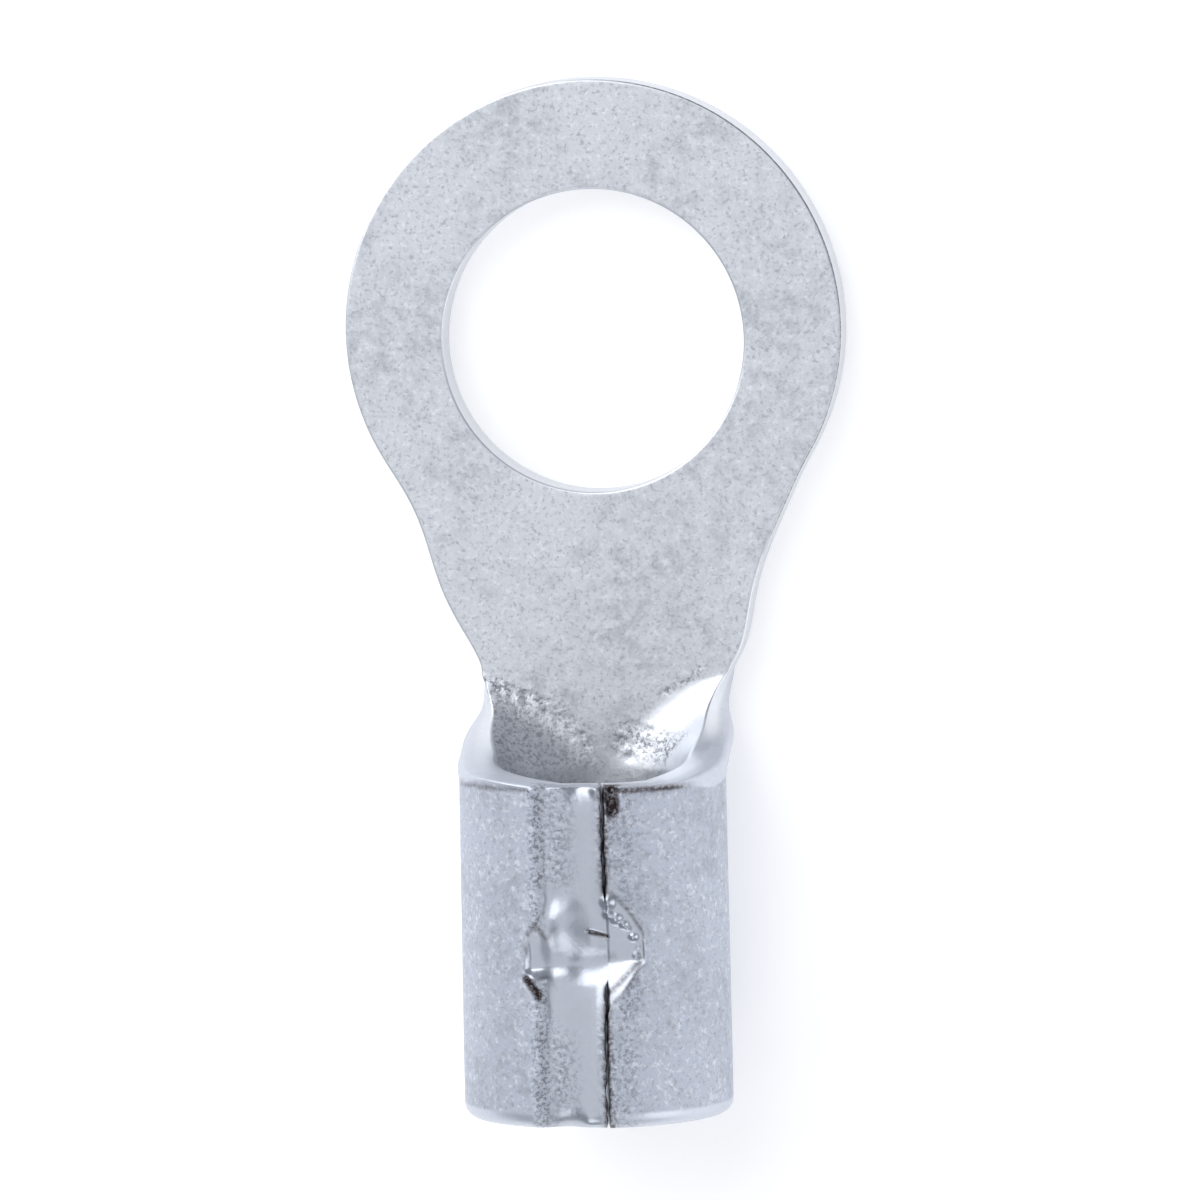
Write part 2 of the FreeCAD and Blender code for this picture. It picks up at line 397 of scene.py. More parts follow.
# Beads thrown up: across, back, radius, height.
BEADS = (
    (0.64, -11.58, 0.20, 0.09), (0.64, -11.84, 0.15, 0.07), (0.80, -11.93, 0.17, 0.07),
    (0.96, -12.06, 0.12, 0.06), (1.05, -12.14, 0.08, 0.03), (1.15, -12.34, 0.12, 0.06),
    (1.25, -12.55, 0.08, 0.02), (1.20, -12.74, 0.12, 0.04), (-0.92, -9.20, 0.16, 0.06),
    (0.42, -9.20, 0.13, 0.05),
)
# The swell thrown up by the wedge mark: across, back, lengths of its steep side and its tail, half width,
# height. Its steep side looks this far right and ahead.
SWELL = (-0.58, -11.80, 0.52, 1.0, 0.74, 0.13)
SWELL_LOOKS = (-0.74, 0.67)
# Wrinkles of the flat sheet: start, end, half width, share.
WRINKLES = (
    ((-2.50, -7.33), (-1.30, -7.82), 0.30, 1.0), ((-2.50, -7.60), (-1.50, -8.30), 0.30, 0.35),
    ((1.34, -7.60), (2.25, -7.00), 0.14, 0.8), ((0.62, -8.60), (1.62, -8.75), 0.60, 1.0),
    ((-1.05, -7.92), (-0.40, -8.72), 0.36, 0.55),
)


class SeamTools:
    """What the tools pressed into the top of the barrel, as depths over the rolled sheet.

    Places across are how far they lie right of the crown.
    """

    # Hollows of the channel's floor at the rim and at the wire end: depth, length, middle, half width
    RIM_HOLLOW, END_HOLLOW = (0.12, 0.6, 0.04, 0.38), (0.28, 0.8, -0.33, 0.5)
    # The wedge mark's valley: its lean, its bend left of the crown, and its round
    VALLEY_LEAN, VALLEY_BEND, VALLEY_ROUND = 0.06, 0.07, 0.2
    # Its roof: the slope past its ends, the tilt, and the strength and the middle of its hollow
    PAST_SLOPE, TILT, HOLLOW, HOLLOW_MIDDLE = 3.0, 0.03, 0.11, 0.25
    # Where its lower flank is steeper: share, start, and blend, which runs to the left if negative
    STEEPER = ((0.6, 0.3, 0.4), (0.35, -0.6, -0.3))
    # Torn streaks on the channel's floor, at the seam and right of it: middle, half width, share
    TORN_FLOOR, TORN_SEAM, TORN_RIGHT = (-0.4, 0.55, 0.7), (0.0, 0.3, 1.0), (0.35, 0.5, 0.45)
    # The torn stroke by the mark: two pairs of across and behind the valley, then half width and share
    TORN_BESIDE = (1.1, 0.5, 0.95, 1.0, 0.45, 0.7)
    # What is smooth again: a stroke ahead of the mark, and the wire end by length, middle and half width
    SPARED, SPARED_END = ((-0.62, -11.50), (-0.36, -11.98), 0.5), (0.9, -0.33, 0.4)
    # Relief of torn metal and of the wrinkles, as height, wave and seed, and how high the wrinkles go
    TORN_RELIEF, WRINKLE_RELIEF, WRINKLE_TOP = (0.014, 0.17, 1.0), (0.022, 0.3, 4.0), 1.6
    # Lines behind the rim: how far, where the right one ends, then half width, depth and share of painted
    # crease shade of each
    RIM_BEHIND, RIM_RIGHT_END = 0.07, 1.9
    RIM_RIGHT, RIM_LEFT = (0.09, 0.05, 0.95), (0.08, 0.02, 0.45)
    # Darkening along the mark's border and in a band along the seam's crack, each with its share and half
    # width
    BORDER_SOIL, CRACK_SOIL = (0.5, 0.03), (0.75, 0.16)

    def __init__(self, blank, seam):
        self.blank = blank
        self.left = -seam.channel_left / MM
        self.right = seam.channel_right / MM
        self.depth = seam.channel_depth / MM
        self.wall = seam.channel_wall / MM
        self.valley = blank.rim - seam.wedge_back / MM
        self.wedge_left = -seam.wedge_left / MM
        self.wedge_right = seam.wedge_right / MM
        self.wedge_depth = seam.wedge_depth / MM
        self.slope = seam.wedge_slope

    def channel(self, x, y):
        """Depth of the channel: a smooth step down its left wall, a dished floor and a lip at the seam.

        Two sines make the wall wander. Towards the rim and the wire end the floor sinks in a hollow of a
        bell's width, by the square of the share of the way.
        """
        wander = 0.02 * np.sin(2.1 * y + 0.5) + 0.01 * np.sin(5.3 * y)
        down = smooth((x - self.left - wander) / self.wall)
        lip = 0.75 + 0.25 * smooth((self.right - x) / 0.4)
        dish = 1.0 + 0.2 * bump((x - 0.1) / 0.6)
        runs = 0.0
        for way, hollow in ((self.blank.rim - y, self.RIM_HOLLOW), (y - self.blank.end, self.END_HOLLOW)):
            depth, reach, middle, half_width = hollow
            share = np.clip(1.0 - way / reach, 0.0, 1.0)
            runs = runs + depth * share ** 2 * bump((x - middle) / half_width)
        return (self.depth * down * lip * dish + runs) * (x < self.right)

    def wedge(self, x, y, surface):
        """How far a roof shape with the wedge's flanks lies below the surface, or above it if negative.

        The flanks rise from a rounded valley: the root of the squares of the distance and of the round,
        less the round. The lower flank is hollowed across by a parabola and is steeper at both ends.
        """
        valley = self.valley + self.VALLEY_LEAN * x - self.VALLEY_BEND * np.maximum(0.0, -x)
        run = np.sqrt((y - valley) ** 2 + self.VALLEY_ROUND ** 2) - self.VALLEY_ROUND
        past = np.maximum(0.0, x - self.wedge_right) + np.maximum(0.0, self.wedge_left - x)
        hollow = self.HOLLOW * (x - self.HOLLOW_MIDDLE) ** 2 * smooth((valley - y) / 0.3)
        steeper = sum(share * smooth((x - start) / blend) for share, start, blend in self.STEEPER)
        rise = self.slope * (1.0 + steeper * (y < valley)) * run
        roof = 2 * self.blank.outer - self.wedge_depth + rise
        return surface - (roof + self.PAST_SLOPE * past + hollow - self.TILT * x)

    def cut(self, x, below):
        """How deep the roof cuts: half of what lies above it plus the root of that squared plus a blend's.

        The blend rounds the mark's borders, and is keen beside the channel and soft across it.
        """
        keen = 0.02 + 0.16 * smooth((x - self.left - 0.1) / 0.4) * smooth((self.right + 0.6 - x) / 1.0)
        return (below + np.sqrt(below ** 2 + keen ** 2)) / 2 * smooth((below + 0.4) / 0.3)

    def crushed(self, x, y):
        """Where the metal is torn rough: the channel's left wall, along the seam, and by the mark."""
        shares = [bump((x - self.left - 0.5 * self.wall) / (0.8 * self.wall))]
        streaks = ((0.0, self.TORN_FLOOR), (self.right, self.TORN_SEAM), (self.right, self.TORN_RIGHT))
        for start, (middle, half_width, share) in streaks:
            shares.append(share * bump((x - start - middle) / half_width))
        first, ahead, second, behind, half_width, share = self.TORN_BESIDE
        start, end = (first, self.valley - ahead), (second, self.valley - behind)
        shares.append(share * stroke(x, y, start, end, half_width))
        return np.max(shares, axis=0)

    def spared(self, x, y):
        """Where the tools left the torn metal smooth again: ahead of the mark, and at the wire end."""
        reach, middle, half_width = self.SPARED_END
        at_end = bump((y - self.blank.end) / reach) * bump((x - middle) / half_width)
        return np.maximum(stroke(x, y, *self.SPARED), at_end)

    def marks(self, x, y):
        """Depth and darkening of the single marks: strokes sunk in, less beads and a swell thrown up.

        The swell rises steeply on the side that looks left and ahead, and sinks slowly behind it.
        """
        depth, dark_marks_and_shade = np.zeros_like(x), np.zeros_like(x)
        for start, end, half_width, sunk, dark in STROKES:
            share = stroke(x, y, start, end, half_width)
            depth, dark_marks_and_shade = depth + sunk * share, np.maximum(dark_marks_and_shade, dark * np.sqrt(share))
        for across, back, radius, height in BEADS:
            depth = depth - height * bump(np.hypot(x - across, y - back) / radius)
        across, back, steep, tail, half_width, height = SWELL
        right, on = SWELL_LOOKS
        ahead = on * (y - back) + right * (x - across)
        aside = on * (x - across) - right * (y - back)
        rise = smooth(0.5 - ahead / steep) * smooth(1.0 + (ahead + steep / 2) / tail)
        swell = height * rise * bump(aside / half_width) * smooth((x - self.left) / self.wall)
        return depth - swell, dark_marks_and_shade

    def wrinkles(self, x, y):
        """Where the folding crumpled the flat sheet: strokes along the starts of the folds."""
        shares = [share * stroke(x, y, start, end, wide) for start, end, wide, share in WRINKLES]
        return np.max(shares, axis=0)

    def rim_lines(self, x, y):
        """Depth and painted crease shade of the lines that the stamping left just behind the barrel's rim.
        """
        right_end = 1.0 - smooth((x - self.RIM_RIGHT_END) / 0.6)
        depth, line_shades = 0.0, []
        for here, line in (((x > self.right) * right_end, self.RIM_RIGHT), (x < self.left, self.RIM_LEFT)):
            half_width, sunk, dark = line
            share = bump((y - self.blank.rim + self.RIM_BEHIND) / half_width) * here
            depth = depth + sunk * share
            line_shades.append(dark * share)
        return depth, np.maximum(*line_shades)

    def press(self, places, level):
        """Presses the marks into rolled places.

        The channel and the wedge mark reach through to the bore's side at a fifth of their depth, and the
        other marks fade out half way through the sheet. Shares, nought to one, say where it is pressed,
        where it is darkened by dark marks and painted crease shade, and where it is torn.
        """
        blank, outer = self.blank, self.blank.outer
        x = places[..., 0] - blank.barrel_shift
        y, z = places[..., 1], places[..., 2]
        on_top = smooth((z - outer) / (0.5 * outer)) * smooth((blank.rim + 0.4 - y) / 0.3)
        outside = np.clip(1.0 - level / blank.sheet, 0.0, 1.0)
        channel = self.channel(x, y)
        crown = outer + np.sqrt(np.maximum(outer ** 2 - x ** 2, 0.0))
        below = self.wedge(x, y, crown - channel)
        cut = self.cut(x, below)
        torn = self.crushed(x, y) * (1.0 - smooth(cut / 0.05)) * (1.0 - self.spared(x, y))
        marks, dark_marks_and_shade = self.marks(x, y)
        lines, line_shade = self.rim_lines(x, y)
        height, wave, seed = self.TORN_RELIEF
        relief = marks + height * torn * ripple(x, y, wave, seed) + lines
        sunk = (channel + cut) * (0.2 + 0.8 * outside) + relief * smooth(2 * outside - 1)
        crumple = self.wrinkles(x, y) * (z < self.WRINKLE_TOP) * smooth(1.0 - 2.0 * outside)
        height, wave, seed = self.WRINKLE_RELIEF
        moved = places.copy()
        moved[..., 2] = z - sunk * on_top + height * crumple * ripple(x, y, wave, seed)
        dark, half_width = self.BORDER_SOIL
        border = dark * bump(below / half_width) * smooth((np.abs(x) - 0.4) / 0.4)
        dark, half_width = self.CRACK_SOIL
        crack = dark * (bump((x - self.right + 0.02) / half_width) * (1.0 - blank.shutting(y)))
        shown = on_top * (outside > 0.5)
        # Dark marks, a band along the open crack, a line along the wedge mark's border, and painted shade
        # in the creases behind the rim
        dark_marks_and_shade = np.max([dark_marks_and_shade, line_shade, border, crack], axis=0) * shown
        pressed = np.clip(channel / self.depth + cut / 0.04, 0.0, 1.0) * shown
        return moved, pressed, dark_marks_and_shade, np.maximum(torn * shown, crumple)


def spaced(start, end, count, dense, reach, crowd):
    """Numbers from start to end whose steps shrink near one place: even shares of one plus a bell there."""
    x = start + (end - start) * np.linspace(0.0, 1.0, 3000)
    weight = 1.0 + crowd * np.exp(-(((x - dense) / reach) ** 2))
    total = np.concatenate([[0.0], np.cumsum((weight[1:] + weight[:-1]) / 2)])
    return np.interp(np.linspace(0.0, total[-1], count + 1), total, x)


class Outline:
    """The blank's outer edge as one clockwise loop of places, with the rounds of its upper and lower edges.

    The stretches run from the tip down the right side: the ring's arc, the neck, the scoop, the wing with
    the barrel's rim, the seam, the wire end, and the same back up the left side.
    """

    COUNTS = {"arc": 72, "neck": 40, "scoop": 40, "wing": 66, "seam": 150, "bottom": 60}
    # Places crowd along the wing towards the seam, and along the seam near the mark: reach, strength
    WING_CROWD, SEAM_CROWD, MARK_BACK = (1.7, 4.0), (1.4, 0.8), 3.7
    # The wing's short last step, which keeps the seam's round from shading the metal beside it
    LAST_STEP = 0.01
    # Greatest and keenest rounds of the drawn lower edge, the seam's two rounds, and how far they shut
    DRAWN_ROUND, KEEN_ROUND, SEAM_ROUNDS, ROUND_SHUT = 0.34, 0.04, (0.03, 0.05), 0.97

    def __init__(self, blank):
        self.blank = blank
        right, left = self.half(RIGHT), self.half(LEFT)
        middle = np.linspace(right["wing"][0, 0], left["wing"][0, 0], self.COUNTS["bottom"] + 1)
        across = np.concatenate([right["wing"][::-1, 0], middle[1:-1], left["wing"][:, 0]])
        bottom = np.stack([across, np.full_like(across, blank.end)], axis=-1)
        edges = []
        for name, places in right.items():
            edges.append((name + "_right", places, *self.edge_rounds(name, places)))
        edges.append(("bottom", bottom, blank.mouth, blank.end_round))
        for name, places in reversed(left.items()):
            edges.append((name + "_left", places[::-1], *self.edge_rounds(name, places[::-1])))
        self.slices = {}
        points, upper, lower = [], [], []
        for name, places, upper_round, lower_round in edges:
            steps = len(places) - 1
            self.slices[name] = np.arange(len(points), len(points) + steps + 1)
            points += list(places[:-1])
            upper += list(np.broadcast_to(upper_round, steps + 1)[:-1])
            lower += list(np.broadcast_to(lower_round, steps + 1)[:-1])
        self.points = np.array(points)
        self.slices["arc_left"][-1] = 0
        self.rounds(np.array(upper), np.array(lower))

    def edge_rounds(self, name, places):
        """Rounds of a stretch's upper and lower edges.

        The bending drew the lower edge in: its round has a hump along the scoop and is keen at the rim. The
        wedge mark has pressed the seam's rounds out.
        """
        blank = self.blank
        if name == "seam":
            open_share = 1.0 - self.ROUND_SHUT * blank.shutting(places[:, 1])
            return [size * open_share for size in self.SEAM_ROUNDS]
        if name in ("arc", "neck"):
            return blank.burr, blank.die
        rise = smooth((blank.flat_end - places[:, 1]) / 1.2)
        fall = 1.0 - smooth((np.abs(places[:, 0]) - 4.3) / 1.3)
        drawn = blank.die + (self.DRAWN_ROUND - blank.die) * rise * fall
        return blank.burr, drawn - (blank.die - self.KEEN_ROUND) * (1.0 - fall)

    def half(self, side):
        """The stretches of one side from the tip to the wire end, each going down or outwards."""
        blank = self.blank
        turn = np.linspace(math.pi / 2, -NECK_LEAVE, self.COUNTS["arc"] + 1)
        arc = side.sign * blank.ring * np.cos(turn), blank.shift + blank.ring * np.sin(turn)
        corner = blank.wing_corner(side)
        y = np.linspace(blank.flat_end, corner, self.COUNTS["scoop"] + 1)
        scoop = side.sign * blank.scoop_half_width(side, y), y
        reach = blank.seam_at[side.sign]
        start = blank.scoop_half_width(side, corner)
        s = spaced(start, reach - blank.half_gap, self.COUNTS["wing"], reach, *self.WING_CROWD)
        s = np.insert(s, -1, s[-1] - self.LAST_STEP)
        y = np.linspace(blank.rim, corner, SAMPLES)
        on_edge = np.interp(s, blank.scoop_half_width(side, y)[::-1], y[::-1])
        wing = side.sign * s, np.where(s < blank.scoop_half_width(side, blank.rim), on_edge, blank.rim)
        y = spaced(blank.rim, blank.end, self.COUNTS["seam"], blank.rim - self.MARK_BACK, *self.SEAM_CROWD)
        seam = side.sign * (reach - blank.gap(side, y)), y
        neck = blank.neck_edge(side, self.COUNTS["neck"]).T
        stretches = {"arc": arc, "neck": neck, "scoop": scoop, "wing": wing, "seam": seam}
        return {name: np.stack(pair, axis=-1) for name, pair in stretches.items()}

    def rounds(self, upper, lower):
        """Outward directions and rounds at each place, three of each: the place's own, and the corners'.

        Near a corner the loop also moves in from the stretch beyond it, by the share of the way to it.
        """
        ahead = np.roll(self.points, -1, axis=0) - self.points
        steps = np.linalg.norm(ahead, axis=1)
        after = np.stack([-ahead[:, 1], ahead[:, 0]], axis=-1) / steps[:, None]
        before = np.roll(after, 1, axis=0)
        corner = np.sum(before * after, axis=1) < 0.7
        own = before + after
        own /= np.linalg.norm(own, axis=1, keepdims=True)
        own = np.where(corner[:, None], before, own)
        start, finish = np.zeros_like(own), np.zeros_like(own)
        rounds = []
        for values in (upper, lower):
            last = np.roll(values, 1)
            place_own = np.where(corner, last, (values + last) / 2)
            rounds.append([place_own, np.zeros_like(values), np.zeros_like(values)])
        for index in self.slices.values():
            way = np.concatenate([[0.0], np.cumsum(steps[index[:-1]])])
            way /= way[-1]
            if corner[index[0]]:
                start[index[1:-1]] = (1 - way[1:-1, None]) * before[index[0]]
            if corner[index[-1]]:
                finish[index[1:]] = way[1:, None] * after[index[-1]]
            for values, found in ((upper, rounds[0]), (lower, rounds[1])):
                found[1][index[1:-1]] = values[index[0] - 1]
                found[2][index[1:]] = values[index[-1]]
        self.normals = (own, start, finish)
        self.upper, self.lower = rounds
        self.corner = corner

    def inset(self, rounds):
        """The loop moved in by its rounds."""
        return self.points - sum(normal * size[:, None] for normal, size in zip(self.normals, rounds))


def edge_profile(upper, lower, sheet, steps=4, walls=4):
    """A stamped edge from the upper face to the lower: shares of the two rounds as offsets, and levels.

    Each round is a quarter circle, and the wall between them is straight.
    """
    a = np.linspace(0.0, math.pi / 2, steps + 1)
    upper_part = [(1 - np.sin(t), 0.0, sheet - upper * (1 - math.cos(t))) for t in a]
    shares = np.linspace(0, 1, walls + 1)[1:-1]
    wall_part = [(0.0, 0.0, (sheet - upper) * (1 - share) + lower * share) for share in shares]
    lower_part = [(0.0, 1 - np.cos(t), lower * (1 - math.sin(t))) for t in a]
    return upper_part + wall_part + lower_part


def patch(top, bottom, left, right, shares):
    """A surface between four edges: ruled from top to bottom, plus each side's miss, faded across.

    The sides' miss is the side's own place less the ruled one, times the share of the way to the far side.
    """
    v = shares[:, None, None]
    ruled = top[None] + v * (bottom - top)[None]
    c = np.linspace(0.0, 1.0, top.shape[0])[None, :, None]
    return ruled + (1 - c) * (left[:, None] - ruled[:, :1]) + c * (right[:, None] - ruled[:, -1:])


class Skin:
    """Grids of places in space that are sewn into one mesh."""

    LABELS = ("pressed", "cut", "rubbed_sheen", "outside", "dark_marks_and_shade", "torn")
    # Shares on the left inner wall of rubbing, whose pale colour is painted highlight (full on the right
    # wall, which faces the light), and of scuffs, rough and dark as painted shade; and how much torn metal
    # keeps from rubbing
    RUBBED_LEFT, SCUFFED, TORN_KEEPS = 0.3, 0.5, 0.8
    # Places that are the same when rounded to this share of a millimetre are sewn
    SEWN_PER_MM = 1e5

    def __init__(self, blank, tools):
        self.blank = blank
        self.tools = tools
        self.places, self.values, self.faces = [], [], []
        self.count = 0

    def add(self, along, y, level, cut=0.0, line=0.0, flip=False):
        """Adds a grid of the blank's places at their levels, as quads between neighbours.

        Cut says where the sheet was cut, and line where a dark line of painted shade runs along its edge.
        """
        level = np.broadcast_to(level, along.shape).astype(float)
        places, turned = self.blank.roll(along, y, level)
        places, pressed, dark_marks_and_shade, torn = self.tools.press(places, level)
        inner = turned * smooth((y - self.blank.rim + 0.2) / 0.3) * (level > self.blank.sheet / 2)
        # Rubbing makes the inner walls glossier; its pale colour, full on the right wall and weaker on the
        # left, is painted highlight
        rubbed_sheen = inner * np.where(along > 0, 1.0, self.RUBBED_LEFT) * (1.0 - self.TORN_KEEPS * torn)
        # Scuffs on the left inner wall: rough, with dark specks that are painted shade on the wall turned
        # from the light
        torn = np.maximum(torn, self.SCUFFED * (inner * (along < 0) * (1.0 - cut)))
        outside = turned * (1.0 - level / self.blank.sheet)
        rows, columns = along.shape
        index = self.count + np.arange(rows * columns).reshape(rows, columns)
        quads = np.stack([index[:-1, :-1], index[1:, :-1], index[1:, 1:], index[:-1, 1:]], axis=-1)
        self.faces.append((quads[..., ::-1] if flip else quads).reshape(-1, 4))
        self.places.append(places.reshape(-1, 3))
        cut = np.broadcast_to(cut, along.shape)
        values = np.stack([pressed, cut, rubbed_sheen, outside, np.maximum(dark_marks_and_shade, line), torn], axis=-1)
        self.values.append(values.reshape(-1, len(self.LABELS)))
        self.count += rows * columns

    def mesh(self, name):
        """The sewn mesh: equal places become one, and faces that lose a side by that are left out."""
        places, values, faces = [np.concatenate(part) for part in (self.places, self.values, self.faces)]
        rounded = np.round(places * self.SEWN_PER_MM).astype(np.int64)
        _, first, sewn = np.unique(rounded, axis=0, return_index=True, return_inverse=True)
        faces = sewn.reshape(-1)[faces]
        kept = np.all(faces != np.roll(faces, -1, axis=1), axis=1)
        mesh = bpy.data.meshes.new(name)
        mesh.from_pydata((places[first] * MM).tolist(), [], faces[kept].tolist())
        for column, label in enumerate(self.LABELS):
            attribute = mesh.attributes.new(label, "FLOAT", "POINT")
            attribute.data.foreach_set("value", np.ascontiguousarray(values[first, column], np.float32))
        mesh.polygons.foreach_set("use_smooth", np.ones(len(mesh.polygons), bool))
        bm = bmesh.new()
        bm.from_mesh(mesh)
        bmesh.ops.recalc_face_normals(bm, faces=bm.faces)
        bm.to_mesh(mesh)
        bm.free()
        return mesh


# Rows of the ring's field. Painted shade along the ring's upper right edge, the side turned from the light:
# share, row of the edge's profile, and the places across and back from which it sets in, over a length
RING_ROWS = 12
EDGE_SHADE, EDGE_ROW = 0.8, 2
EDGE_RIGHT, EDGE_AHEAD, EDGE_BLEND = -0.5, -5.5, 2.0


def add_faces(skin, outline, rounds, level, flip):
    """One face of the sheet, upper or lower: the scoop's field, the ring's and the barrel's.

    The scoop's rows run from side to side, and bend by the square of the share of the way to it. The ring's
    field is ruled from the hole outwards, and the barrel's is a patch between its four edges.
    """
    blank = skin.blank
    inset = outline.inset(rounds)
    at = {name: inset[index] for name, index in outline.slices.items()}
    base = {name: outline.points[index] for name, index in outline.slices.items()}
    u = np.linspace(-1.0, 1.0, outline.COUNTS["bottom"] + 1)
    left, right = at["scoop_left"][::-1], at["scoop_right"]
    middle = (base["scoop_left"][::-1, 1] + base["scoop_right"][:, 1]) / 2
    side = np.where((u < 0)[None, :, None], left[:, None], right[:, None])
    share = np.abs(u)[None, :]
    along = share * side[..., 0]
    y = middle[:, None] + share ** 2 * (side[..., 1] - middle[:, None])
    skin.add(along, y, level, flip=flip)
    scoop = np.stack([along, y], axis=-1)

    parts = [at["arc_right"], at["neck_right"], scoop[0, ::-1], at["neck_left"]]
    loop = np.concatenate([part[:-1] for part in parts] + [at["arc_left"]])
    turn = hole_turns(outline)
    hole = (blank.hole + blank.burr) * np.stack([np.cos(turn), np.sin(turn)], axis=-1)
    shares = smooth(np.linspace(0.0, 1.0, RING_ROWS + 1))[:, None, None]
    field = hole[None] + shares * (loop - hole)[None]
    skin.add(field[..., 0], field[..., 1], level, flip=not flip)

    top = np.concatenate([at["wing_left"][:-1], scoop[-1, :-1], at["wing_right"]])
    rows = base["seam_right"][:, 1]
    shares = (rows - rows[0]) / (rows[-1] - rows[0])
    field = patch(top, at["bottom"][::-1], at["seam_left"][::-1], at["seam_right"], shares)
    skin.add(field[..., 0], field[..., 1], level, flip=flip)


def hole_turns(outline):
    """Directions from the hole's axis to the places round the ring, the neck and the end of the flat."""
    base = {name: outline.points[index] for name, index in outline.slices.items()}
    right, left = base["scoop_right"][0], base["scoop_left"][-1]
    u = np.linspace(1.0, -1.0, outline.COUNTS["bottom"] + 1)
    end = np.stack([np.where(u > 0, u * right[0], -u * left[0]), np.full_like(u, right[1])], axis=-1)
    parts = [base["arc_right"], base["neck_right"], end, base["neck_left"]]
    loop = np.concatenate([part[:-1] for part in parts] + [base["arc_left"]])
    return np.arctan2(loop[:, 1], loop[:, 0])


def add_edges(skin, outline):
    """The stamped edges: the profile carried round the outline, and round the stud hole."""
    blank = skin.blank
    upper, lower = [
        np.where(outline.corner, (rounds[0] + rounds[2]) / 2, rounds[0])
        for rounds in (outline.upper, outline.lower)
    ]
    rows = []
    for up_share, low_share, level in edge_profile(upper, lower, blank.sheet):
        offset = [up_share * up + low_share * low for up, low in zip(outline.upper, outline.lower)]
        levels = np.broadcast_to(level, upper.shape)[:, None]
        rows.append(np.concatenate([outline.inset(offset), levels], axis=1))
    grid = np.array(rows)
    x, y, level = np.concatenate([grid, grid[:, :1]], axis=1).transpose(2, 0, 1)
    # A dark line of painted shade along the ring's upper right edge
    shaded_row = np.arange(len(grid))[:, None] == EDGE_ROW
    upper_right = smooth((x - EDGE_RIGHT) / EDGE_BLEND) * smooth((y - EDGE_AHEAD) / EDGE_BLEND)
    skin.add(x, y, level, cut=1.0, line=EDGE_SHADE * shaded_row * upper_right)

    turn = hole_turns(outline)
    rows = []
    for up_share, low_share, level in edge_profile(blank.burr, blank.burr, blank.sheet):
        radius = blank.hole + (up_share + low_share) * blank.burr
        rows.append([radius * np.cos(turn), radius * np.sin(turn), np.full_like(turn, level)])
    x, y, level = np.array(rows).transpose(1, 0, 2)
    skin.add(x, y, level, cut=1.0, flip=True)


class Nodes:
    """Short ways to add and join the shader nodes of a material or a world."""

    def __init__(self, owner):
        owner.use_nodes = True
        self.tree = owner.node_tree
        self.tree.nodes.clear()

    def add(self, kind, values=(), **settings):
        """A node of a kind, with its settings and the values or links of its inputs."""
        node = self.tree.nodes.new("ShaderNode" + kind)
        for key, value in settings.items():
            setattr(node, key, value)
        for key, value in dict(values).items():
            if isinstance(value, bpy.types.NodeSocket):
                self.tree.links.new(value, node.inputs[key])
            else:
                node.inputs[key].default_value = value
        return node

    def math(self, operation, *values, clamp=False):
        """The result of a sum on numbers or links."""
        return self.add("Math", dict(enumerate(values)), operation=operation, use_clamp=clamp).outputs[0]

    def times(self, first, second):
        """The product of two numbers or links."""
        return self.math("MULTIPLY", first, second)

    def most(self, first, *others):
        """The greatest of numbers or links."""
        for other in others:
            first = self.math("MAXIMUM", first, other)
        return first

    def ramp(self, value, low, high, to_low=0.0, to_high=1.0):
        """A value carried from one range to another, smoothly and held at its ends."""
        values = {"Value": value, "From Min": low, "From Max": high, "To Min": to_low, "To Max": to_high}
        return self.add("MapRange", values, interpolation_type="SMOOTHSTEP").outputs[0]

    def noise(self, place, per_mm, detail=3.0, roughness=0.6, distortion=0.0):
        """Noise with so many waves in each millimetre."""
        values = {
            "Vector": place, "Scale": per_mm / MM, "Detail": detail, "Roughness": roughness,
            "Distortion": distortion,
        }
        return self.add("TexNoise", values).outputs["Fac"]

    def mix(self, share, first, second):
        """A colour between two colours."""
        node = self.add("Mix", data_type="RGBA")
        for socket, value in zip((node.inputs[0], node.inputs[6], node.inputs[7]), (share, first, second)):
            if isinstance(value, bpy.types.NodeSocket):
                self.tree.links.new(value, socket)
            else:
                socket.default_value = value
        return node.outputs[2]

    def attribute(self, name):
        """A value that the mesh carries."""
        return self.add("Attribute", attribute_name=name).outputs["Fac"]


def rgba(value):
    """A colour with its fourth part."""
    return (*value, 1.0)


WHITE = rgba((1.0, 1.0, 1.0))
# Square soft boxes, in metres: name, place, size, and brightness as seen from the terminal.
LAMPS = (
    ("overhead", (-0.06, -0.09, 0.50), 0.48, 0.58),
    ("left", (-0.262, 0.236, 0.229), 0.46, 1.95),
    ("right", (0.38, -0.18, 0.20), 0.36, 1.35),
    ("ahead", (-0.03, 0.225, 0.39), 0.17, 2.0),
    ("behind", (-0.05, -0.38, 0.27), 0.20, 1.5),
)
# How far the floor lies below the terminal, in metres.
FLOOR_DROP = 2e-5


